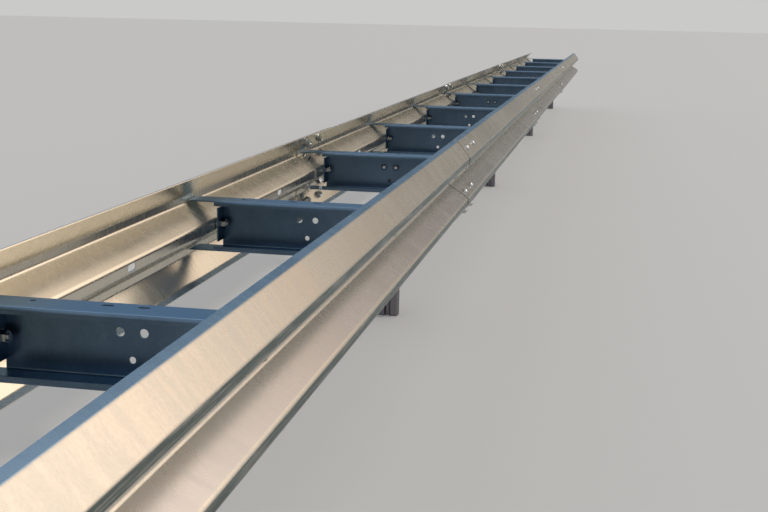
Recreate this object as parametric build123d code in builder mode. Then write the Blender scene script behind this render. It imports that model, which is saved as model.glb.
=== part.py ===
# Double-sided steel median barrier: two W-section rails on cross spacers and one row of posts.
# x runs across the barrier, y along its run and z up, in millimetres, with the posts' feet at z = 0.
import os
from math import atan2, cos, hypot, remainder, sin, tan, tau

from build123d import *

os.makedirs("parts", exist_ok=True)

# Run of the barrier
BAYS = 4
BAY = 4000.0
SPACERS_PER_BAY = 3
RAIL_TOP = 750.0
BACK_GAP = 520.0

# Rail section: distances out from the back plane and down from the top edge
SHEET = 3.0
RAIL_HEIGHT = 310.0
RAIL_DEPTH = 81.0
RAIL_BEND = 13.0
EDGE_REACH = 14.0
LIP_REACH = 33.0
LIP_DROP = 7.5
CREST_DROP = 77.0
CREST_FLAT = 22.0
VALLEY_FLAT = 34.0

# Lapped rail ends and the slots for their bolts
LAP = 300.0
LAP_FIT = 0.4
SPLICE_COLUMN_GAP = 190.0
SPLICE_TOP_ROW = 34.0
SPLICE_INNER_ROW = 106.0
SPLICE_SLOT = (30.0, 18.0)
VALLEY_SLOT = (50.0, 18.0)

# Cross spacer: a lipped channel, open towards the first end of the run
SPACER_SHEET = 4.0
SPACER_HEIGHT = 150.0
SPACER_FLANGE = 88.0
SPACER_LIP = 15.0
SPACER_BEND = 6.0
SPACER_FIT = 1.0
SPACER_TAB = 60.0
SPACER_TAB_HEIGHT = 100.0
SPACER_SLOT = (24.0, 11.0)
SPACER_SLOT_OFFSET = 36.0
SPACER_HOLE = 12.0
SPACER_HOLE_OFFSET = 186.0

# Post: a sigma section
POST_SHEET = 4.2
POST_WIDTH = 84.0
POST_FLANGE = 55.0
POST_LIP = 14.0
POST_GROOVE_WIDTH = 16.0
POST_GROOVE_DEPTH = 14.0
POST_GROOVE_SLOPE = 6.0
POST_BEND = 4.0
POST_TOP_GAP = 12.0
POST_BOLT_GAP = 48.0
POST_BOLT_RISE = 18.0
BOLT_HOLE = 18.0

RUN = BAYS * BAY
SPACER_PITCH = BAY / SPACERS_PER_BAY
BACK = BACK_GAP / 2
MIDDLE = SHEET / 2
MID_DROP = RAIL_HEIGHT / 2
NEST = SHEET + LAP_FIT
CREST_INSIDE = BACK + RAIL_DEPTH - SHEET
SPACER_MIDDLE = RAIL_TOP - MID_DROP
SPACER_TOP = SPACER_MIDDLE + SPACER_HEIGHT / 2
SPACER_REAR = -POST_GROOVE_DEPTH - POST_SHEET / 2
RAIL_BOLTS = SPACER_REAR - SPACER_TAB / 2
LOWER_ROWS = (SPLICE_INNER_ROW, RAIL_HEIGHT - SPLICE_INNER_ROW, RAIL_HEIGHT - SPLICE_TOP_ROW)
OCTAGON_CUT = 1 - 2**0.5 / 2


def headings(corners):
    return [atan2(b[1] - a[1], b[0] - a[0]) for a, b in zip(corners, corners[1:])]


def turns(along):
    """The turn at each corner between two headings, positive to the left."""
    return [remainder(after - before, tau) for before, after in zip(along, along[1:])]


def beside(corners, shift):
    """The same bent line moved to its left by a constant distance."""
    along = headings(corners)
    moved = []
    for (x, y), heading, turn in zip(corners, along[:1] + along, [0, *turns(along), 0]):
        reach = shift / cos(turn / 2)
        middle = heading + turn / 2
        moved.append((x - reach * sin(middle), y + reach * cos(middle)))
    return moved


def bends(corners, bend, shift):
    """The bend radii of the moved line: less on the inside of a turn, more on the outside."""
    return [bend - shift if turn > 0 else bend + shift for turn in turns(headings(corners))]


def cut_corners(corners, bend):
    """The bent line with a straight cut where a bend of the given radius would be."""
    line = corners[:1]
    inner = zip(corners, corners[1:], corners[2:], turns(headings(corners)))
    for before, here, after, turn in inner:
        setback = bend * tan(abs(turn) / 2)
        for other in (before, after):
            share = setback / hypot(other[0] - here[0], other[1] - here[1])
            line.append(tuple(h + share * (o - h) for h, o in zip(here, other)))
    return line + corners[-1:]


def sheet_face(plane, corners, sheet, shift=0.0, bend=0.0):
    """A face of constant sheet thickness about a bent line, moved to the line's left by shift."""
    sides = []
    with BuildSketch(plane) as section:
        with BuildLine():
            for offset in (shift - sheet / 2, shift + sheet / 2):
                line = beside(corners, offset)
                if bend:
                    sides.append(FilletPolyline(*line, radius=bends(corners, bend, offset)))
                else:
                    sides.append(Polyline(*line))
            Line(sides[0] @ 0, sides[1] @ 0)
            Line(sides[0] @ 1, sides[1] @ 1)
        make_face()
    return section.sketch.face()


def punch(plane, places, size):
    """Holes and slots that repeat all along the run: eight straight sides stand for round ends."""
    with BuildSketch(plane) as holes:
        with Locations(*places):
            Rectangle(*size)
        chamfer(holes.vertices(), length=size[1] * OCTAGON_CUT)
    return holes.sketch


def rail_corners():
    """Corners of the rail sheet's mid line as (out, drop), from its top edge to its bottom edge."""
    crest = RAIL_DEPTH - MIDDLE
    upper = [
        (EDGE_REACH, MIDDLE),
        (LIP_REACH, LIP_DROP),
        (crest, CREST_DROP - CREST_FLAT / 2),
        (crest, CREST_DROP + CREST_FLAT / 2),
        (MIDDLE, MID_DROP - VALLEY_FLAT / 2),
    ]
    return upper + [(out, RAIL_HEIGHT - drop) for out, drop in reversed(upper)]


def make_rail(bay):
    """A panel of the near rail; every second one lies over the ends of its neighbours."""
    start = RAIL_BOLTS + bay * BAY
    end = start + BAY
    over = bay % 2 == 1
    profile = Plane(origin=(BACK, start - LAP / 2, RAIL_TOP), x_dir=(1, 0, 0), z_dir=(0, 1, 0))
    side = Plane(origin=(BACK, 0, RAIL_TOP), x_dir=(0, 1, 0), z_dir=(1, 0, 0))
    stations = [start + n * SPACER_PITCH / 2 for n in range(2 * SPACERS_PER_BAY + 1)]
    open_ends = [start] * (bay == 0) + [end] * (bay == BAYS - 1)
    columns = [y + turn * SPLICE_COLUMN_GAP / 2 for y in open_ends for turn in (-1, 1)]
    with BuildPart() as rail:
        section = sheet_face(profile, rail_corners(), SHEET, -NEST * over, RAIL_BEND)
        extrude(section, amount=BAY + LAP)
        slots = punch(side, [(y, -MID_DROP) for y in stations], VALLEY_SLOT)
        extrude(slots, amount=2 * NEST, mode=Mode.SUBTRACT)
        if columns:
            with BuildSketch(side) as top_row:
                with Locations(*[(y, -SPLICE_TOP_ROW) for y in columns]):
                    SlotOverall(*SPLICE_SLOT)
            lower = punch(side, [(y, -drop) for y in columns for drop in LOWER_ROWS], SPLICE_SLOT)
            for slots in (top_row.sketch, lower):
                extrude(slots, amount=RAIL_DEPTH + NEST, mode=Mode.SUBTRACT)
    return rail.part


def across(x, rear):
    """A plane facing along the spacer, with its x running forward from the web's rear face."""
    return Plane(origin=(x, rear, SPACER_MIDDLE), x_dir=(0, -1, 0), z_dir=(-1, 0, 0))


def web_holes(rear):
    """The two bolt holes that a spacer's web and a post's web share, seen from the front."""
    ahead = Plane(origin=(0, rear, SPACER_MIDDLE), x_dir=(1, 0, 0), z_dir=(0, -1, 0))
    places = [(-POST_BOLT_GAP / 2, POST_BOLT_RISE), (POST_BOLT_GAP / 2, POST_BOLT_RISE)]
    return punch(ahead, places, (BOLT_HOLE, BOLT_HOLE))


def make_spacer(station):
    """A channel between the rails: its flanges run into the corrugations, its web stops short."""
    rear = station + SPACER_REAR
    half = (SPACER_HEIGHT - SPACER_SHEET) / 2
    front = SPACER_FLANGE - SPACER_SHEET / 2
    back = SPACER_SHEET / 2
    corners = [
        (front, half - SPACER_LIP),
        (front, half),
        (back, half),
        (back, -half),
        (front, -half),
        (front, SPACER_LIP - half),
    ]
    clear = SPACER_HEIGHT - 2 * SPACER_SHEET
    above = Plane(origin=(0, rear - SPACER_TAB / 2, SPACER_MIDDLE))
    slots = [(-SPACER_SLOT_OFFSET, 0), (SPACER_SLOT_OFFSET, 0)]
    holes = [(-SPACER_HOLE_OFFSET, 0), (SPACER_HOLE_OFFSET, 0)]
    with BuildPart() as spacer:
        section = sheet_face(across(0, rear), cut_corners(corners, SPACER_BEND), SPACER_SHEET)
        extrude(section, amount=CREST_INSIDE - SPACER_FIT, both=True)
        for side in (-1, 1):
            with Locations((side * (BACK + RAIL_DEPTH / 2), rear, SPACER_MIDDLE)):
                Box(RAIL_DEPTH, 2 * SPACER_FLANGE, clear, mode=Mode.SUBTRACT)
            with Locations((side * (BACK - back), rear - SPACER_TAB / 2, SPACER_MIDDLE)):
                Box(SPACER_SHEET, SPACER_TAB, SPACER_TAB_HEIGHT)
        bolts = punch(across(0, rear), [(SPACER_TAB / 2, 0)], (BOLT_HOLE, BOLT_HOLE))
        extrude(bolts, amount=BACK, both=True, mode=Mode.SUBTRACT)
        extrude(web_holes(rear), amount=SPACER_SHEET, mode=Mode.SUBTRACT)
        for places, size in ((slots, SPACER_SLOT), (holes, (SPACER_HOLE, SPACER_HOLE))):
            extrude(punch(above, places, size), amount=SPACER_HEIGHT, mode=Mode.SUBTRACT)
    return spacer.part


def make_post(station):
    """A sigma post against the rear of the spacer's web, cut flat at its foot."""
    front = station + SPACER_REAR
    side = (POST_WIDTH - POST_SHEET) / 2
    rear = POST_FLANGE - POST_SHEET / 2
    face = POST_SHEET / 2
    groove = POST_GROOVE_WIDTH / 2
    half = [
        (side - POST_LIP, rear),
        (side, rear),
        (side, face),
        (groove + POST_GROOVE_SLOPE, face),
        (groove, face + POST_GROOVE_DEPTH),
    ]
    corners = cut_corners(half + [(-x, y) for x, y in reversed(half)], POST_BEND)
    with BuildPart() as post:
        section = sheet_face(Plane(origin=(0, front, 0)), corners, POST_SHEET)
        extrude(section, amount=SPACER_TOP - POST_TOP_GAP)
        extrude(web_holes(front), amount=-POST_SHEET, mode=Mode.SUBTRACT)
    return post.part


def save(solid, name):
    solid.label = name
    export_step(solid, f"parts/{name}.step")


# the far rail is the near one turned half round about the middle of the run
run_middle = Location((0, RAIL_BOLTS + RUN / 2, 0))
half_turn = run_middle * Location((0, 0, 0), (0, 0, 180)) * run_middle.inverse()
for bay in range(BAYS):
    rail = make_rail(bay)
    save(rail, f"near_rail_{bay + 1}")
    save(rail.moved(half_turn), f"far_rail_{BAYS - bay}")

for number in range(BAYS * SPACERS_PER_BAY + 1):
    save(make_spacer(number * SPACER_PITCH), f"spacer_{number + 1:02d}")

for number in range(BAYS + 1):
    save(make_post(number * BAY), f"post_{number + 1}")
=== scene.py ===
from math import atan2, cos, pi, radians, remainder, sin, tau

import bmesh
import bpy
from mathutils import Matrix, Vector


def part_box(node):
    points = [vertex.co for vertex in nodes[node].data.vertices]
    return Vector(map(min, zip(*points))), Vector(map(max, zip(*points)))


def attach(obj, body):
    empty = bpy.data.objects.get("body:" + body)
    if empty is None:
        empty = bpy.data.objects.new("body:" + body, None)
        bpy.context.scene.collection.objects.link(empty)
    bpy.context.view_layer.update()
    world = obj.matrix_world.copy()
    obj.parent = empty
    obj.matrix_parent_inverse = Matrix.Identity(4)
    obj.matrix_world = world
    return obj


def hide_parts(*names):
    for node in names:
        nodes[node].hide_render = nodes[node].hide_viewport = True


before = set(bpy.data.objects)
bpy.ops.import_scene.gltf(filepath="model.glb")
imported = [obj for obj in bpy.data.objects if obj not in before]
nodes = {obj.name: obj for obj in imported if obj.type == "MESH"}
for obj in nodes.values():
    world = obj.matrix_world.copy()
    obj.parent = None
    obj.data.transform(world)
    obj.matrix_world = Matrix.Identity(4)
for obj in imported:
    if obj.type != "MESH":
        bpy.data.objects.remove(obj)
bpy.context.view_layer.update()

MM = 0.001

# Rail section: distances out from the back plane and down from the top edge
SHEET = 3.0 * MM
RAIL_HEIGHT = 310.0 * MM
RAIL_DEPTH = 81.0 * MM
RAIL_BEND = 13.0 * MM
EDGE_REACH = 14.0 * MM
LIP_REACH = 33.0 * MM
LIP_DROP = 7.5 * MM
CREST_DROP = 77.0 * MM
CREST_FLAT = 22.0 * MM
VALLEY_FLAT = 34.0 * MM
NEST = 3.4 * MM

# Slots and bolts of the rails
VALLEY_SLOT = (50.0 * MM, 18.0 * MM)
SPLICE_SLOT = (30.0 * MM, 18.0 * MM)
SPLICE_COLUMN_GAP = 190.0 * MM
SPLICE_TOP_ROW = 34.0 * MM
SPLICE_INNER_ROW = 106.0 * MM
VALLEY_PUNCH = 8 * SHEET
SPLICE_PUNCH = 2 * RAIL_DEPTH

# Cross spacer
SPACER_SHEET = 4.0 * MM
SPACER_LIP = 15.0 * MM
SPACER_BEND = 6.0 * MM
SPACER_TAB = 60.0 * MM
SPACER_TAB_HEIGHT = 100.0 * MM
SPACER_SLOT = (24.0 * MM, 11.0 * MM)
SPACER_SLOT_OFFSET = 36.0 * MM
SPACER_HOLE = 12.0 * MM
SPACER_HOLE_OFFSET = 186.0 * MM
POST_BOLT_GAP = 48.0 * MM
POST_BOLT_RISE = 18.0 * MM
LOW_HOLE_DROP = 36.0 * MM
LOW_HOLE = 14.0 * MM
BOLT_HOLE = 18.0 * MM
SPACER_PUNCH = 4 * SPACER_SHEET

# Post: a sigma section
POST_SHEET = 4.2 * MM
POST_LIP = 14.0 * MM
POST_GROOVE_WIDTH = 16.0 * MM
POST_GROOVE_DEPTH = 14.0 * MM
POST_GROOVE_SLOPE = 6.0 * MM
POST_BEND = 4.0 * MM
POST_PUNCH = 4 * POST_SHEET

# Fineness of bends and holes, the angles past which edges stay sharp, and how near doubles are
RAIL_BEND_STEPS = 8
SPACER_BEND_STEPS = 6
POST_BEND_STEPS = 4
CUTTER_SIDES = 26
SHEET_SHARP_ANGLE = 35
BOLT_SHARP_ANGLE = 40
MERGE_DISTANCE = 1e-5

# The run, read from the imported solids
RAILS = sorted(n for n in nodes if "_rail_" in n)
SPACERS = sorted(n for n in nodes if n.startswith("spacer_"))
POSTS = sorted(n for n in nodes if n.startswith("post_"))
RAIL_TOP = min(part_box(n)[1].z for n in RAILS)
BACK = max(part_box(n)[1].x for n in RAILS) - NEST - RAIL_DEPTH
LOW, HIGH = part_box(SPACERS[0])
SPACER_MIDDLE = (LOW.z + HIGH.z) / 2
SPACER_REARS = [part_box(n)[1].y for n in SPACERS]
STATIONS = [rear - SPACER_TAB / 2 for rear in SPACER_REARS]
PER_BAY = (len(SPACERS) - 1) // (len(POSTS) - 1)
SPLICES = STATIONS[PER_BAY:-1:PER_BAY]

# Directions in the part's frame
ACROSS = (1, 0, 0)
ALONG = (0, 1, 0)
UP = (0, 0, 1)

# The picture's own frame, in pixels, and the camera's place in the part's frame
PICTURE = (768, 512)
FOCAL_PIXELS = 1212.2
RUN_VANISHING = (620.0, 19.6)
HORIZON_SLOPE = 0.0219
CAMERA_PLACE = (0.8724, -0.7805, 1.2138)
SENSOR = 36.0
CLIP = (0.05, 500.0)

# The colour sockets of a Mix node, by number, because all its kinds of value share their labels
MIX_FIRST, MIX_SECOND, MIX_RESULT = 6, 7, 2


def link(obj):
    """The object, put into the scene."""
    bpy.context.scene.collection.objects.link(obj)
    return obj


def mesh_object(name, points, faces=(), edges=()):
    """A mesh from its points, in an object at the origin."""
    mesh = bpy.data.meshes.new(name)
    mesh.from_pydata(points, edges, faces)
    return link(bpy.data.objects.new(name, mesh))


def baked(obj, name):
    """The object with its modifiers made final, as a plain mesh."""
    graph = bpy.context.evaluated_depsgraph_get()
    mesh = bpy.data.meshes.new_from_object(obj.evaluated_get(graph))
    bpy.data.objects.remove(obj)
    mesh.name = name
    return link(bpy.data.objects.new(name, mesh))


def new_group(name, kind, inputs, outputs):
    """An empty node group with its sockets, and its input and output ends."""
    group = bpy.data.node_groups.new(name, kind)
    sockets = group.interface
    for label, socket, value in inputs:
        item = sockets.new_socket(name=label, in_out="INPUT", socket_type="NodeSocket" + socket)
        if value is not None:
            item.default_value = value
    for label, socket in outputs:
        sockets.new_socket(name=label, in_out="OUTPUT", socket_type="NodeSocket" + socket)
    start = group.nodes.new("NodeGroupInput").outputs
    end = group.nodes.new("NodeGroupOutput").inputs
    return group, start, end


def fill(tree, node, values):
    """Links the inputs that values names, or gives them their values."""
    for label, value in values.items():
        if isinstance(value, bpy.types.NodeSocket):
            tree.links.new(value, node.inputs[label])
        else:
            node.inputs[label].default_value = value


def add(tree, kind, values=None, **settings):
    """A node with its settings made and its inputs linked or given a value."""
    node = tree.nodes.new(kind)
    for name, value in settings.items():
        setattr(node, name, value)
    fill(tree, node, values or {})
    return node


def calc(tree, operation, a, b=0.0, clamp=False):
    """The result of a sum on two values or sockets."""
    node = add(tree, "ShaderNodeMath", {0: a, 1: b}, operation=operation, use_clamp=clamp)
    return node.outputs[0]


def blend(tree, share, a, b, mode="MIX"):
    """Colour a, gone over to colour b by a share."""
    values = {"Factor": share, MIX_FIRST: a, MIX_SECOND: b}
    node = add(tree, "ShaderNodeMix", values, data_type="RGBA", blend_type=mode)
    return node.outputs[MIX_RESULT]


def cloud(tree, place, scale, stretch, detail, roughness=0.5):
    """Noise at a scale, drawn out along the axes by stretch."""
    moved = add(tree, "ShaderNodeMapping", {"Vector": place, "Scale": stretch}).outputs[0]
    values = {"Vector": moved, "Scale": scale, "Detail": detail, "Roughness": roughness}
    return add(tree, "ShaderNodeTexNoise", values).outputs["Fac"]


def step(tree, value, low, high):
    """Zero below low, one above high and smooth between."""
    values = {"Value": value, "From Min": low, "From Max": high}
    return add(tree, "ShaderNodeMapRange", values, interpolation_type="SMOOTHSTEP").outputs[0]


# Finishes

# Patterns of the zinc: scale, stretch, detail and roughness
CLOUDS = (3.0, (1.0, 0.4, 1.0), 5.0, 0.6)
RUNS = (26.0, (0.3, 1.0, 0.12), 5.0, 0.65)
GRAIN = (150.0, (1, 1, 1), 2.0)
SWELLS = (9.0, (0.6, 0.5, 0.3), 1.0)
# Streaks that break up the painted dark reflection on the crests
CREST_REFLECTION_STREAKS = (14.0, (0.4, 0.25, 9.0), 5.0, 0.7)

# Between which values each pattern comes in, and how much of it shows
CLOUD_LIMITS = (0.36, 0.66)
CLOUD_SHARE = 0.45
CLOUD_ROUGHNESS = 0.06
RUN_LIMITS = (0.42, 0.62)
GRAIN_LIMITS = (0.3, 0.7)
GRAIN_GREYS = ((0.35, 0.35, 0.35, 1), (0.65, 0.65, 0.65, 1))
GRAIN_SHARE = 0.12
SWELL_STRENGTH = 0.10
SWELL_HEIGHT = 2.0 * MM
# Where the crest streaks come in, and the least of the painted dark reflection between them
CREST_REFLECTION_LIMITS = (0.35, 0.65)
CREST_REFLECTION_LEAST = 0.45
# How much painted shade the lower upward slopes take, and over what height it fades in
PAINTED_SHADE_SHARE = 0.6
PAINTED_SHADE_FADE = (0.0, 50.0 * MM)
# How much painted light the faces turned in or down take
PAINTED_LIGHT_SHARE = 0.75

# Which faces an effect is on, as limits of the part of their normal up, out, in or down
# The faces turned up this much take the painted sky reflection
SKY_REFLECTION_FACES = (0.82, 0.97)
# The faces that take the painted shade, and those too steep for it
PAINTED_SHADE_FACES = (0.2, 0.45)
TOO_STEEP_FOR_PAINTED_SHADE = (0.58, 0.68)
CREST_FACES = (0.93, 0.985)
# The faces turned in, and those turned down, that take the painted light
INNER_FACES = (0.2, 0.5)
UNDER_FACES = (0.3, 0.6)

# How far from the rails' outermost reach the painted dark reflection comes in
CREST_STRIP = (-2.0 * MM, -0.5 * MM)

# How much a metal mirrors at a flat angle, for each colour
EDGE_TINT = (0.63, 0.68, 0.70)


def zinc_group():
    """Hot-dipped zinc: clouded, with a fine grain, with faint runs down the sheet, and a painted
    sky reflection on faces turned up.
    """
    inputs = [("Zinc", "Color", None), ("Dull", "Color", None), ("Painted sky reflection", "Color", None),
              ("Roughness", "Float", None), ("Runs", "Float", None)]
    outputs = [("Colour", "Color"), ("Roughness", "Float"), ("Height", "Float")]
    group, start, end = new_group("Weathered zinc", "ShaderNodeTree", inputs, outputs)
    place = add(group, "ShaderNodeTexCoord").outputs["Object"]
    clouds = step(group, cloud(group, place, *CLOUDS), *CLOUD_LIMITS)
    runs = step(group, cloud(group, place, *RUNS), *RUN_LIMITS)
    grain = step(group, cloud(group, place, *GRAIN), *GRAIN_LIMITS)
    clouded = calc(group, "MULTIPLY", clouds, CLOUD_SHARE)
    streaked = calc(group, "MULTIPLY", runs, start["Runs"])
    share = calc(group, "ADD", clouded, streaked, clamp=True)
    colour = blend(group, share, start["Zinc"], start["Dull"])
    normal = add(group, "ShaderNodeNewGeometry").outputs["Normal"]
    lift = add(group, "ShaderNodeSeparateXYZ", {"Vector": normal}).outputs[2]
    # Painted sky reflection: faces turned up take a bluer colour that stands in for the sky they
    # mirror
    colour = blend(group, step(group, lift, *SKY_REFLECTION_FACES), colour, start["Painted sky reflection"])
    colour = blend(group, GRAIN_SHARE, colour, blend(group, grain, *GRAIN_GREYS), "OVERLAY")
    added = calc(group, "MULTIPLY", share, CLOUD_ROUGHNESS)
    rough = calc(group, "ADD", start["Roughness"], added)
    height = cloud(group, place, *SWELLS)
    for label, value in (("Colour", colour), ("Roughness", rough), ("Height", height)):
        group.links.new(value, end[label])
    return group


def outer_side_group():
    """Painted light on the faces turned in or down, painted shade on the upward slopes of the
    rails' lower half, and a painted dark reflection in streaks along their crests.
    """
    inputs = [("Colour", "Color", None), ("Painted light inside", "Color", None), ("Painted crest reflection", "Color", None),
              ("Painted shade", "Color", None), ("Reach", "Float", None), ("Painted shade height", "Float", None)]
    group, start, end = new_group("Outer side", "ShaderNodeTree", inputs, [("Colour", "Color")])
    place = add(group, "ShaderNodeTexCoord").outputs["Object"]
    axis = add(group, "ShaderNodeSeparateXYZ", {"Vector": place}).outputs
    normal = add(group, "ShaderNodeNewGeometry").outputs["Normal"]
    facing = add(group, "ShaderNodeSeparateXYZ", {"Vector": normal}).outputs
    outward = calc(group, "MULTIPLY", facing[0], calc(group, "SIGN", axis[0]))
    # Painted light: faces turned in or down take a brighter, warmer colour
    inside = step(group, calc(group, "MULTIPLY", outward, -1.0), *INNER_FACES)
    below = step(group, calc(group, "MULTIPLY", facing[2], -1.0), *UNDER_FACES)
    either = calc(group, "MAXIMUM", inside, below)
    painted_light_inside = calc(group, "MULTIPLY", either, PAINTED_LIGHT_SHARE)
    zinc = blend(group, painted_light_inside, start["Colour"], start["Painted light inside"])
    # Painted shade: below the spacers' middle, slopes turned mostly up take a darker mauve grey,
    # standing in for the shade under the upper hump
    depth = step(group, calc(group, "SUBTRACT", start["Painted shade height"], axis[2]), *PAINTED_SHADE_FADE)
    steep = step(group, outward, *TOO_STEEP_FOR_PAINTED_SHADE)
    slope = calc(group, "SUBTRACT", step(group, outward, *PAINTED_SHADE_FACES), steep)
    painted_shade_mask = calc(group, "MULTIPLY", depth, slope)
    colour = blend(group, calc(group, "MULTIPLY", painted_shade_mask, PAINTED_SHADE_SHARE), zinc, start["Painted shade"])
    # Painted dark reflection: the outermost crest flats darkened in streaks, standing in for the
    # dark ground they mirror
    beyond = calc(group, "SUBTRACT", calc(group, "ABSOLUTE", axis[0]), start["Reach"])
    crest = step(group, outward, *CREST_FACES)
    strip = calc(group, "MULTIPLY", step(group, beyond, *CREST_STRIP), crest)
    streaks = step(group, cloud(group, place, *CREST_REFLECTION_STREAKS), *CREST_REFLECTION_LIMITS)
    crest_reflection_share = calc(group, "ADD", CREST_REFLECTION_LEAST, streaks, clamp=True)
    share = calc(group, "MULTIPLY", strip, crest_reflection_share)
    group.links.new(blend(group, share, colour, start["Painted crest reflection"]), end["Colour"])
    return group


ZINC = zinc_group()
OUTER_SIDE = outer_side_group()


def finish(name, zinc, dull, painted_sky_reflection, roughness, runs, painted_light_inside=None, painted_crest_reflection=None, painted_shade=None):
    """Weathered zinc in the given colours with a painted sky reflection, and on the rails with
    painted light, painted shade and a painted dark reflection.
    """
    material = bpy.data.materials.new(name)
    material.use_nodes = True
    tree = material.node_tree
    values = {"Zinc": (*zinc, 1), "Dull": (*dull, 1), "Painted sky reflection": (*painted_sky_reflection, 1),
              "Roughness": roughness, "Runs": runs}
    coat = add(tree, "ShaderNodeGroup", values, node_tree=ZINC).outputs
    colour = coat["Colour"]
    if painted_light_inside:
        values = {"Colour": colour, "Painted light inside": (*painted_light_inside, 1), "Painted crest reflection": (*painted_crest_reflection, 1),
                  "Painted shade": (*painted_shade, 1), "Reach": BACK + RAIL_DEPTH, "Painted shade height": SPACER_MIDDLE}
        colour = add(tree, "ShaderNodeGroup", values, node_tree=OUTER_SIDE).outputs["Colour"]
    values = {"Strength": SWELL_STRENGTH, "Distance": SWELL_HEIGHT, "Height": coat["Height"]}
    normal = add(tree, "ShaderNodeBump", values).outputs["Normal"]
    values = {"Base Color": colour, "Roughness": coat["Roughness"], "Normal": normal,
              "Metallic": 1.0, "Specular Tint": (*EDGE_TINT, 1)}
    fill(tree, tree.nodes["Principled BSDF"], values)
    return material


# The sky colour of each finish is a painted sky reflection on its faces turned up
RAIL_ZINC = finish(
    "Rail zinc", zinc=(0.67, 0.60, 0.53), dull=(0.54, 0.52, 0.485), painted_sky_reflection=(0.30, 0.49, 0.74),
    roughness=0.25, runs=0.38,
    # Painted light inside, a painted dark reflection on the crests and painted shade on the lower
    # slopes
    painted_light_inside=(0.81, 0.74, 0.625), painted_crest_reflection=(0.18, 0.20, 0.18), painted_shade=(0.53, 0.49, 0.51),
)
# Painted shade: the same zinc as the rails, darkened to a navy grey, as the spacers' faces stand in
# shade
SHADED_SPACER_ZINC = finish(
    "Spacer zinc in painted shade", zinc=(0.13, 0.19, 0.27), dull=(0.08, 0.13, 0.18), painted_sky_reflection=(0.25, 0.41, 0.62),
    roughness=0.30, runs=0.35,
)
# Painted shade: the posts' zinc darkened, as their faces stand in shade
SHADED_POST_ZINC = finish(
    "Post zinc in painted shade", zinc=(0.24, 0.22, 0.23), dull=(0.14, 0.14, 0.17), painted_sky_reflection=(0.30, 0.32, 0.34),
    roughness=0.42, runs=0.3,
)
BOLT_ZINC = finish(
    "Bolt zinc", zinc=(0.50, 0.50, 0.50), dull=(0.38, 0.38, 0.38), painted_sky_reflection=(0.50, 0.50, 0.50),
    roughness=0.18, runs=0.1,
)


# Bent sheet


def rolled_tree():
    """Rounds the corners of a section line and draws the line out into a strip of sheet."""
    inputs = [("Geometry", "Geometry", None), ("Bend", "Float", None), ("Bend steps", "Int", None),
              ("Travel", "Vector", None), ("Material", "Material", None)]
    outputs = [("Geometry", "Geometry")]
    group, start, end = new_group("Rolled sheet", "GeometryNodeTree", inputs, outputs)
    group.is_modifier = True
    curve = add(group, "GeometryNodeMeshToCurve", {"Mesh": start["Geometry"]}).outputs[0]
    values = {"Curve": curve, "Radius": start["Bend"], "Count": start["Bend steps"]}
    bent = add(group, "GeometryNodeFilletCurve", values, mode="POLY").outputs[0]
    edge = add(group, "GeometryNodeCurveToMesh", {"Curve": bent}).outputs[0]
    values = {"Mesh": edge, "Offset": start["Travel"], "Offset Scale": 1.0}
    strip = add(group, "GeometryNodeExtrudeMesh", values, mode="EDGES").outputs[0]
    real = add(group, "GeometryNodeRealizeInstances", {"Geometry": strip}).outputs[0]
    values = {"Geometry": real, "Material": start["Material"]}
    group.links.new(add(group, "GeometryNodeSetMaterial", values).outputs[0], end["Geometry"])
    return group


def turned(tree, facing, along):
    """A rotation that brings z to facing and x to along."""
    kind = "FunctionNodeAlignRotationToVector"
    first = add(tree, kind, {"Vector": facing}, axis="Z").outputs[0]
    values = {"Rotation": first, "Vector": along}
    return add(tree, kind, values, axis="X", pivot_axis="Z").outputs[0]


def punch_tree():
    """Puts a round-ended cutter at every point: a cylinder whose two halves are drawn apart."""
    inputs = [("Geometry", "Geometry", None), ("Length", "Float", None), ("Height", "Float", None),
              ("Depth", "Float", None), ("Facing", "Vector", None), ("Along", "Vector", None),
              ("Material", "Material", None)]
    outputs = [("Geometry", "Geometry")]
    group, start, end = new_group("Slot punches", "GeometryNodeTree", inputs, outputs)
    group.is_modifier = True
    radius = calc(group, "MULTIPLY", start["Height"], 0.5 / cos(pi / CUTTER_SIDES))
    values = {"Vertices": CUTTER_SIDES, "Radius": radius, "Depth": start["Depth"]}
    body = add(group, "GeometryNodeMeshCylinder", values).outputs["Mesh"]
    spot = add(group, "GeometryNodeInputPosition").outputs[0]
    side = calc(group, "SIGN", add(group, "ShaderNodeSeparateXYZ", {"Vector": spot}).outputs[0])
    straight = calc(group, "SUBTRACT", start["Length"], start["Height"])
    shift = calc(group, "MULTIPLY", side, calc(group, "MULTIPLY", straight, 0.5))
    apart = add(group, "ShaderNodeCombineXYZ", {"X": shift}).outputs[0]
    slot = add(group, "GeometryNodeSetPosition", {"Geometry": body, "Offset": apart}).outputs[0]
    turn = turned(group, start["Facing"], start["Along"])
    values = {"Points": start["Geometry"], "Instance": slot, "Rotation": turn}
    placed = add(group, "GeometryNodeInstanceOnPoints", values).outputs[0]
    real = add(group, "GeometryNodeRealizeInstances", {"Geometry": placed}).outputs[0]
    values = {"Geometry": real, "Material": start["Material"]}
    group.links.new(add(group, "GeometryNodeSetMaterial", values).outputs[0], end["Geometry"])
    return group


ROLLED = rolled_tree()
PUNCHES = punch_tree()


def use_tree(obj, tree, values):
    """Adds a tree as a modifier, with its inputs set through their identifiers."""
    modifier = obj.modifiers.new(tree.name, "NODES")
    modifier.node_group = tree
    for item in tree.interface.items_tree:
        if item.in_out == "INPUT" and item.name in values:
            modifier[item.identifier] = values[item.name]


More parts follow.
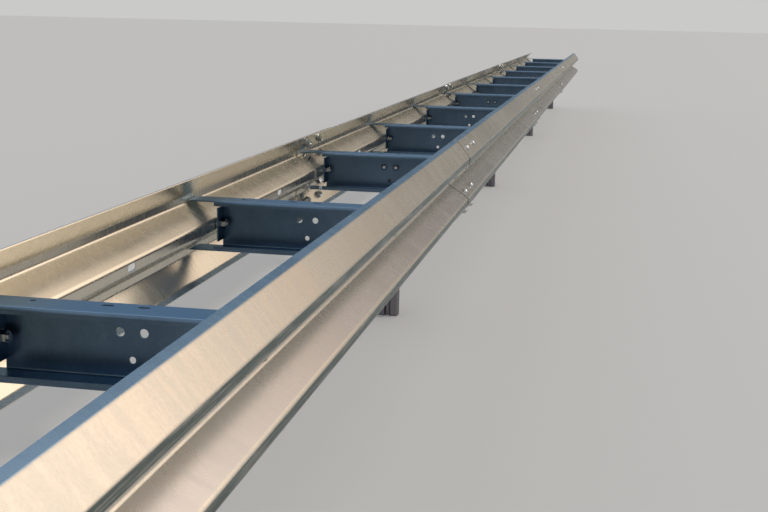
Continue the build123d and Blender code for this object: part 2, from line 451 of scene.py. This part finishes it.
def bent_sheet(name, line, travel, sheet, bend, steps, material):
    """A sheet that follows the line's corners with round bends, drawn out by travel."""
    obj = mesh_object(name, line, edges=[(i, i + 1) for i in range(len(line) - 1)])
    values = {"Bend": bend, "Bend steps": steps, "Travel": travel, "Material": material}
    use_tree(obj, ROLLED, values)
    wall = obj.modifiers.new("Sheet", "SOLIDIFY")
    wall.thickness = sheet
    wall.offset = 0.0
    wall.use_even_offset = True
    return baked(obj, name)


def punches(places, size, depth, facing, along):
    """Cutters of a slot's length and height, at places on a face that looks along facing."""
    obj = mesh_object("punches", places)
    length, height = size
    values = {"Length": length, "Height": height, "Depth": depth, "Facing": facing, "Along": along}
    use_tree(obj, PUNCHES, values)
    return baked(obj, "punches")


def boxes(name, spans, material=None):
    """Plain boxes, each from a low to a high corner."""
    points, faces = [], []
    sides = [(0, 1, 3, 2), (4, 6, 7, 5), (0, 4, 5, 1), (2, 3, 7, 6), (0, 2, 6, 4), (1, 5, 7, 3)]
    for low, high in spans:
        base = len(points)
        across, along, up = zip(low, high)
        points += [(x, y, z) for x in across for y in along for z in up]
        faces += [tuple(base + i for i in side) for side in sides]
    obj = mesh_object(name, points, faces)
    if material:
        obj.data.materials.append(material)
    return obj


def cut(obj, tools):
    """The object with the tools taken out of it, as a plain mesh; the tools are removed."""
    for tool in tools:
        modifier = obj.modifiers.new("Cut", "BOOLEAN")
        modifier.object = tool
        modifier.solver = "EXACT"
    result = baked(obj, obj.name)
    for tool in tools:
        bpy.data.objects.remove(tool)
    return result


def shaded(mesh, angle):
    """Smooth shading, with the edges past an angle kept sharp."""
    for polygon in mesh.polygons:
        polygon.use_smooth = True
    mesh.set_sharp_from_angle(angle=radians(angle))


def smoothed(obj):
    """Doubles merged, faces outwards, bends smooth and flats even."""
    shape = bmesh.new()
    shape.from_mesh(obj.data)
    bmesh.ops.remove_doubles(shape, verts=shape.verts, dist=MERGE_DISTANCE)
    bmesh.ops.recalc_face_normals(shape, faces=shape.faces)
    shape.to_mesh(obj.data)
    shape.free()
    shaded(obj.data, SHEET_SHARP_ANGLE)
    even = obj.modifiers.new("Even flats", "WEIGHTED_NORMAL")
    even.keep_sharp = True
    return baked(obj, obj.name)


def hand_over(obj, slot, *replaced):
    """A finished piece, given its body and the node that it stands for; slot is not used."""
    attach(obj, "root")
    if replaced:
        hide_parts(*replaced)


def repeated(pattern, name, move):
    """A copy of a piece, moved along the run in its mesh."""
    mesh = pattern.data.copy()
    mesh.transform(Matrix.Translation(move))
    mesh.name = name
    return link(bpy.data.objects.new(name, mesh))


# Rails


def rail_line(shift):
    """Corners of the sheet's middle as (out, drop), moved outwards by a constant distance."""
    crest = RAIL_DEPTH - SHEET / 2
    upper = [
        (EDGE_REACH, SHEET / 2),
        (LIP_REACH, LIP_DROP),
        (crest, CREST_DROP - CREST_FLAT / 2),
        (crest, CREST_DROP + CREST_FLAT / 2),
        (SHEET / 2, (RAIL_HEIGHT - VALLEY_FLAT) / 2),
    ]
    line = upper + [(out, RAIL_HEIGHT - drop) for out, drop in reversed(upper)]
    along = [atan2(b[1] - a[1], b[0] - a[0]) for a, b in zip(line, line[1:])]
    moved = []
    for (out, drop), before, after in zip(line, along[:1] + along, along + along[-1:]):
        turn = remainder(after - before, tau)
        reach = shift / cos(turn / 2)
        middle = before + turn / 2
        moved.append((out + reach * sin(middle), drop - reach * cos(middle)))
    return moved


UPPER_ROWS = (SPLICE_TOP_ROW, SPLICE_INNER_ROW)
SPLICE_ROWS = UPPER_ROWS + tuple(RAIL_HEIGHT - drop for drop in reversed(UPPER_ROWS))


def splice_columns(station):
    """Where the two columns of slots and bolts stand at a splice."""
    return [station - SPLICE_COLUMN_GAP / 2, station + SPLICE_COLUMN_GAP / 2]


def make_rail(name):
    """A rail panel in the place of its node, moved outwards where it laps over its neighbours."""
    low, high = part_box(name)
    side = 1 if high.x > 0 else -1
    over = high.z > RAIL_TOP + NEST / 2
    line = [(side * (BACK + out), low.y, RAIL_TOP - drop) for out, drop in rail_line(NEST * over)]
    travel = (0, high.y - low.y, 0)
    rail = bent_sheet(name + "_sheet", line, travel, SHEET, RAIL_BEND, RAIL_BEND_STEPS, RAIL_ZINC)
    centre = side * (BACK + RAIL_DEPTH / 2)
    held = [y for y in STATIONS if low.y < y < high.y]
    between = [(a + b) / 2 for a, b in zip(held, held[1:])]
    valley = [(side * BACK, y, SPACER_MIDDLE) for y in held + between]
    tools = [punches(valley, VALLEY_SLOT, VALLEY_PUNCH, ACROSS, ALONG)]
    ends = [y for y in (STATIONS[0], STATIONS[-1]) if low.y < y < high.y]
    columns = [y for end in ends for y in splice_columns(end)]
    rows = [(centre, y, RAIL_TOP - drop) for y in columns for drop in SPLICE_ROWS]
    if rows:
        tools.append(punches(rows, SPLICE_SLOT, SPLICE_PUNCH, ACROSS, ALONG))
    rail = smoothed(cut(rail, tools))
    hand_over(rail, "rail", name)


for name in RAILS:
    make_rail(name)


# Spacers

# The line along which the first spacer is bolted to both rails
BOLT_LINE = HIGH.y - SPACER_TAB / 2

# The two bolt holes that a spacer's web shares with its post, as (x, z)
PAIR = [(turn * POST_BOLT_GAP / 2, SPACER_MIDDLE + POST_BOLT_RISE) for turn in (-1, 1)]


def spacer_channel():
    """A lipped channel cut back to its flanges at both ends, with its slots and holes."""
    rear, front = HIGH.y, LOW.y
    inner = SPACER_SHEET / 2
    top, bottom = HIGH.z - inner, LOW.z + inner
    line = [
        (LOW.x, front + inner, HIGH.z - SPACER_LIP),
        (LOW.x, front + inner, top),
        (LOW.x, rear - inner, top),
        (LOW.x, rear - inner, bottom),
        (LOW.x, front + inner, bottom),
        (LOW.x, front + inner, LOW.z + SPACER_LIP),
    ]
    travel = (HIGH.x - LOW.x, 0, 0)
    bend = (SPACER_BEND, SPACER_BEND_STEPS)
    channel = bent_sheet("spacer", line, travel, SPACER_SHEET, *bend, SHADED_SPACER_ZINC)
    clear_low, clear_high = LOW.z + SPACER_SHEET, HIGH.z - SPACER_SHEET
    notches = []
    for left, right in ((BACK, 2 * BACK), (-2 * BACK, -BACK)):
        notch = ((left, front - SPACER_TAB, clear_low), (right, rear + SPACER_TAB, clear_high))
        notches.append(notch)
    slots = [(turn * SPACER_SLOT_OFFSET, BOLT_LINE, HIGH.z) for turn in (-1, 1)]
    holes = [(turn * SPACER_HOLE_OFFSET, BOLT_LINE, HIGH.z) for turn in (-1, 1)]
    web = [(x, rear, z) for x, z in PAIR]
    low_hole = [(0, rear, SPACER_MIDDLE - LOW_HOLE_DROP)]
    tools = [
        boxes("notches", notches),
        punches(slots, SPACER_SLOT, SPACER_PUNCH, UP, ACROSS),
        punches(holes, (SPACER_HOLE, SPACER_HOLE), SPACER_PUNCH, UP, ACROSS),
        punches(web, (BOLT_HOLE, BOLT_HOLE), SPACER_PUNCH, ALONG, ACROSS),
        punches(low_hole, (LOW_HOLE, LOW_HOLE), SPACER_PUNCH, ALONG, ACROSS),
    ]
    return cut(channel, tools)


def spacer_tabs():
    """The tab at each end of the spacer, with the hole for the bolt through the rail."""
    low, high = SPACER_MIDDLE - SPACER_TAB_HEIGHT / 2, SPACER_MIDDLE + SPACER_TAB_HEIGHT / 2
    spans = []
    for left, right in ((BACK - SPACER_SHEET, BACK), (-BACK, SPACER_SHEET - BACK)):
        spans.append(((left, HIGH.y - SPACER_TAB, low), (right, HIGH.y, high)))
    tabs = boxes("tabs", spans, SHADED_SPACER_ZINC)
    ends = [(turn * BACK, BOLT_LINE, SPACER_MIDDLE) for turn in (-1, 1)]
    return cut(tabs, [punches(ends, (BOLT_HOLE, BOLT_HOLE), SPACER_PUNCH, ACROSS, ALONG)])


def spacer_pattern():
    """The first spacer, its channel and its tabs as one piece."""
    channel, tabs = spacer_channel(), spacer_tabs()
    whole = bmesh.new()
    whole.from_mesh(channel.data)
    whole.from_mesh(tabs.data)
    whole.to_mesh(channel.data)
    whole.free()
    bpy.data.objects.remove(tabs)
    return smoothed(channel)


spacer = spacer_pattern()
for name in SPACERS:
    copy = repeated(spacer, name + "_channel", (0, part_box(name)[1].y - HIGH.y, 0))
    hand_over(copy, "spacer", name)
bpy.data.objects.remove(spacer)


# Posts


def post_pattern():
    """The first post: a sigma section, its web against the spacer and its flanges to the rear."""
    low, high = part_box(POSTS[0])
    side = high.x - POST_SHEET / 2
    face = low.y + POST_SHEET / 2
    rear = high.y - POST_SHEET / 2
    groove = POST_GROOVE_WIDTH / 2
    half = [
        (side - POST_LIP, rear),
        (side, rear),
        (side, face),
        (groove + POST_GROOVE_SLOPE, face),
        (groove, face + POST_GROOVE_DEPTH),
    ]
    line = [(x, y, low.z) for x, y in half + [(-x, y) for x, y in reversed(half)]]
    travel = (0, 0, high.z - low.z)
    post = bent_sheet("post", line, travel, POST_SHEET, POST_BEND, POST_BEND_STEPS, SHADED_POST_ZINC)
    holes = [(x, low.y, z) for x, z in PAIR]
    tool = punches(holes, (BOLT_HOLE, BOLT_HOLE), POST_PUNCH, ALONG, ACROSS)
    return smoothed(cut(post, [tool]))


post = post_pattern()
for name in POSTS:
    copy = repeated(post, name + "_sigma", (0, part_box(name)[1].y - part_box(POSTS[0])[1].y, 0))
    hand_over(copy, "post", name)
bpy.data.objects.remove(post)


# Bolts

HEAD_SEGMENTS = 20
HEAD_RINGS = 12
WASHER_SIDES = 24
NUT_SIDES = 6
SHANK_SIDES = 16
THREAD_PER_NUT = 1.35


def bolt_head(tree, radius, height):
    """A round head: the upper half of a ball, stretched to its radius and height."""
    values = {"Segments": HEAD_SEGMENTS, "Rings": HEAD_RINGS, "Radius": 1.0}
    ball = add(tree, "GeometryNodeMeshUVSphere", values).outputs["Mesh"]
    spot = add(tree, "GeometryNodeInputPosition").outputs[0]
    axis = add(tree, "ShaderNodeSeparateXYZ", {"Vector": spot}).outputs
    above = calc(tree, "MAXIMUM", axis[2], 0.0)
    flat = add(tree, "ShaderNodeCombineXYZ", {"X": axis[0], "Y": axis[1], "Z": above}).outputs[0]
    dome = add(tree, "GeometryNodeSetPosition", {"Geometry": ball, "Position": flat}).outputs[0]
    stretch = add(tree, "ShaderNodeCombineXYZ", {"X": radius, "Y": radius, "Z": height}).outputs[0]
    return add(tree, "GeometryNodeTransform", {"Geometry": dome, "Scale": stretch}).outputs[0]


def hanging(tree, sides, radius, depth, top):
    """A cylinder that hangs down from the given height."""
    values = {"Vertices": sides, "Radius": radius, "Depth": depth}
    body = add(tree, "GeometryNodeMeshCylinder", values).outputs["Mesh"]
    middle = calc(tree, "SUBTRACT", top, calc(tree, "MULTIPLY", depth, 0.5))
    lift = add(tree, "ShaderNodeCombineXYZ", {"Z": middle}).outputs[0]
    values = {"Geometry": body, "Translation": lift}
    return add(tree, "GeometryNodeTransform", values).outputs[0]


def bolt_tree():
    """Puts a round-headed bolt with its washer and nut at every point, turned to its facing."""
    inputs = [("Geometry", "Geometry", None), ("Head radius", "Float", 13.0 * MM),
              ("Head height", "Float", 11.0 * MM), ("Grip", "Float", 7.0 * MM),
              ("Shank radius", "Float", 8.0 * MM), ("Nut radius", "Float", 13.9 * MM),
              ("Nut height", "Float", 13.0 * MM), ("Washer radius", "Float", 15.0 * MM),
              ("Washer height", "Float", 3.0 * MM), ("Material", "Material", None)]
    outputs = [("Geometry", "Geometry")]
    group, start, end = new_group("Bolt rows", "GeometryNodeTree", inputs, outputs)
    group.is_modifier = True
    under = calc(group, "MULTIPLY", start["Grip"], -1.0)
    seat = calc(group, "SUBTRACT", under, start["Washer height"])
    thread = calc(group, "MULTIPLY", start["Nut height"], THREAD_PER_NUT)
    length = calc(group, "ADD", calc(group, "SUBTRACT", 0.0, seat), thread)
    washer = (start["Washer radius"], start["Washer height"])
    pieces = [
        bolt_head(group, start["Head radius"], start["Head height"]),
        hanging(group, WASHER_SIDES, *washer, under),
        hanging(group, NUT_SIDES, start["Nut radius"], start["Nut height"], seat),
        hanging(group, SHANK_SIDES, start["Shank radius"], length, 0.0),
    ]
    bolt = group.nodes.new("GeometryNodeJoinGeometry")
    for piece in pieces:
        group.links.new(piece, bolt.inputs[0])
    kind = "GeometryNodeInputNamedAttribute"
    named = add(group, kind, {"Name": "facing"}, data_type="FLOAT_VECTOR").outputs[0]
    turn = add(group, "FunctionNodeAlignRotationToVector", {"Vector": named}, axis="Z").outputs[0]
    values = {"Points": start["Geometry"], "Instance": bolt.outputs[0], "Rotation": turn}
    placed = add(group, "GeometryNodeInstanceOnPoints", values).outputs[0]
    real = add(group, "GeometryNodeRealizeInstances", {"Geometry": placed}).outputs[0]
    values = {"Geometry": real, "Material": start["Material"]}
    group.links.new(add(group, "GeometryNodeSetMaterial", values).outputs[0], end["Geometry"])
    return group


BOLTS = bolt_tree()


def bolt_rows(name, slot, places, grip):
    """Bolts at pairs of a point and the way out of the sheet there, as one piece."""
    obj = mesh_object(name, [point for point, _ in places])
    facing = obj.data.attributes.new("facing", "FLOAT_VECTOR", "POINT")
    facing.data.foreach_set("vector", [c for _, way in places for c in Vector(way).normalized()])
    use_tree(obj, BOLTS, {"Grip": grip, "Material": BOLT_ZINC})
    bolts = baked(obj, name)
    for attribute in [a for a in bolts.data.attributes if a.name == "facing"]:
        bolts.data.attributes.remove(attribute)
    shaded(bolts.data, BOLT_SHARP_ANGLE)
    hand_over(bolts, slot)


def on_section(drop, shift):
    """The outer face of the section at a drop below the top edge, and the way out of it."""
    line = rail_line(shift)
    for (out_a, drop_a), (out_b, drop_b) in zip(line, line[1:]):
        if drop_a <= drop <= drop_b:
            out = out_a + (drop - drop_a) / (drop_b - drop_a) * (out_b - out_a)
            way = Vector((drop_b - drop_a, out_b - out_a)).normalized()
            return out + way.x * SHEET / 2, -drop + way.y * SHEET / 2, way


def outer_shift(side, station):
    """How far the outermost sheet is moved outwards at a station of one rail row."""
    row = [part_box(n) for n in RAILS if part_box(n)[1].x * side > 0]
    lapped = [high.z > RAIL_TOP + NEST / 2 for low, high in row if low.y < station < high.y]
    return NEST * any(lapped)


for side, label in ((1, "near"), (-1, "far")):
    splice = []
    for station in SPLICES:
        for y in splice_columns(station):
            for row in SPLICE_ROWS:
                out, rise, way = on_section(row, NEST)
                splice.append(((side * (BACK + out), y, RAIL_TOP + rise), (side * way.x, 0, way.y)))
    bolt_rows(label + "_splice_bolts", "rail", splice, NEST + SHEET)
    ties = []
    for station in STATIONS:
        face = BACK + SHEET + outer_shift(side, station)
        ties.append(((side * face, station, SPACER_MIDDLE), (side, 0, 0)))
    bolt_rows(label + "_spacer_bolts", "rail", ties, SHEET + NEST + SPACER_SHEET)

web = []
for rear in SPACER_REARS[::PER_BAY]:
    web += [((x, rear - SPACER_SHEET, z), (0, -1, 0)) for x, z in PAIR]
bolt_rows("post_bolts", "spacer", web, SPACER_SHEET + POST_SHEET)


# Floor, light and camera

FLOOR_REACH = 150.0
FLOOR_DROP = 1.0 * MM
FLOOR_COLOUR = (0.57, 0.57, 0.57)
FLOOR_ROUGHNESS = 0.9

# Sky colour by how far to the right of the run, and how far up, a direction looks, both added
SKY_STOPS = [
    (0.00, (0.25, 0.33, 0.42)),
    (0.12, (0.13, 0.17, 0.19)),
    (0.28, (0.16, 0.19, 0.20)),
    (0.40, (0.38, 0.36, 0.34)),
    (0.55, (1.46, 1.18, 0.94)),
    (0.75, (1.86, 1.66, 1.40)),
    (0.86, (1.86, 1.66, 1.40)),
    (1.00, (1.05, 1.02, 0.98)),
]

# Even patches over that sky: between which heights or sideways parts of a direction each comes in,
# or between which heights the haze goes out, and the colour
OVERHEAD = ((0.55, 0.85), (0.75, 0.77, 0.80))
BEHIND = ((-0.15, -0.7), (0.66, 0.69, 0.72))
LEFT = ((-0.4, -0.85), (0.70, 0.68, 0.64))
HAZE = ((0.015, 0.035), (0.59, 0.59, 0.585))

SUN_STRENGTH = 0.6
SUN_WIDTH = 7
SUN_COLOUR = (1.0, 0.90, 0.74)
SUN_AZIMUTH = 60
SUN_ELEVATION = 40


def pale_floor():
    """A wide matt floor, just under the feet of the posts."""
    turns = ((-1, -1), (1, -1), (1, 1), (-1, 1))
    corners = [(x * FLOOR_REACH, y * FLOOR_REACH, -FLOOR_DROP) for x, y in turns]
    floor = mesh_object("floor", corners, [(0, 1, 2, 3)])
    material = bpy.data.materials.new("Pale floor")
    material.use_nodes = True
    tree = material.node_tree
    values = {"Base Color": (*FLOOR_COLOUR, 1), "Roughness": FLOOR_ROUGHNESS}
    fill(tree, tree.nodes["Principled BSDF"], values)
    floor.data.materials.append(material)


def soft_sky():
    """The sky that the zinc mirrors: a ramp with even patches over it, and haze at the horizon."""
    world = bpy.data.worlds.new("Soft sky")
    bpy.context.scene.world = world
    world.use_nodes = True
    tree = world.node_tree
    way = add(tree, "ShaderNodeTexCoord").outputs["Generated"]
    axis = add(tree, "ShaderNodeSeparateXYZ", {"Vector": way}).outputs
    ramp = add(tree, "ShaderNodeValToRGB", {"Fac": calc(tree, "ADD", axis[0], axis[2])})
    stops = ramp.color_ramp.elements
    while len(stops) < len(SKY_STOPS):
        stops.new(0.5)
    for stop, (place, colour) in zip(stops, SKY_STOPS):
        stop.position = place
        stop.color = (*colour, 1)
    sky = ramp.outputs[0]
    for part, (limits, colour) in ((axis[2], OVERHEAD), (axis[1], BEHIND), (axis[0], LEFT)):
        sky = blend(tree, step(tree, part, *limits), sky, (*colour, 1))
    limits, colour = HAZE
    haze = calc(tree, "SUBTRACT", 1.0, step(tree, axis[2], *limits))
    sky = blend(tree, haze, sky, (*colour, 1))
    fill(tree, tree.nodes["Background"], {"Color": sky})


def heading(azimuth, elevation):
    """A direction from an azimuth to the right of the run and a height above level."""
    a, e = radians(azimuth), radians(elevation)
    return Vector((sin(a) * cos(e), cos(a) * cos(e), sin(e)))


def warm_lamp():
    """One mild, warm sun from the right."""
    lamp = bpy.data.lights.new("Key", "SUN")
    lamp.energy = SUN_STRENGTH
    lamp.angle = radians(SUN_WIDTH)
    lamp.color = SUN_COLOUR
    key = link(bpy.data.objects.new("Key", lamp))
    travel = -heading(SUN_AZIMUTH, SUN_ELEVATION)
    key.rotation_euler = travel.to_track_quat("-Z", "Y").to_euler()


def sight(across, drop):
    """The way to a pixel in camera axes: right, down, forward."""
    width, height = PICTURE
    return Vector((across - width / 2, drop - height / 2, FOCAL_PIXELS)).normalized()


def camera_turn():
    """The camera's rotation, from where the run vanishes and how the horizon slopes."""
    width = PICTURE[0]
    across, drop = RUN_VANISHING
    ahead = sight(across, drop)
    level = sight(across + width, drop + width * HORIZON_SLOPE)
    upward = level.cross(ahead).normalized()
    if upward.y > 0:
        upward = -upward
    axes = Matrix((ahead.cross(upward), ahead, upward))
    right, down, forward = axes.col
    return Matrix((right, -down, -forward)).transposed().to_4x4()


def photo_camera():
    """The camera in the place from which the part looks as it does in the picture."""
    view = bpy.data.cameras.new("Camera")
    view.sensor_width = SENSOR
    view.lens = FOCAL_PIXELS / PICTURE[0] * SENSOR
    view.clip_start, view.clip_end = CLIP
    camera = link(bpy.data.objects.new("Camera", view))
    camera.matrix_world = Matrix.Translation(CAMERA_PLACE) @ camera_turn()
    bpy.context.scene.camera = camera


pale_floor()
soft_sky()
warm_lamp()
photo_camera()
bpy.context.scene.view_settings.view_transform = "Standard"
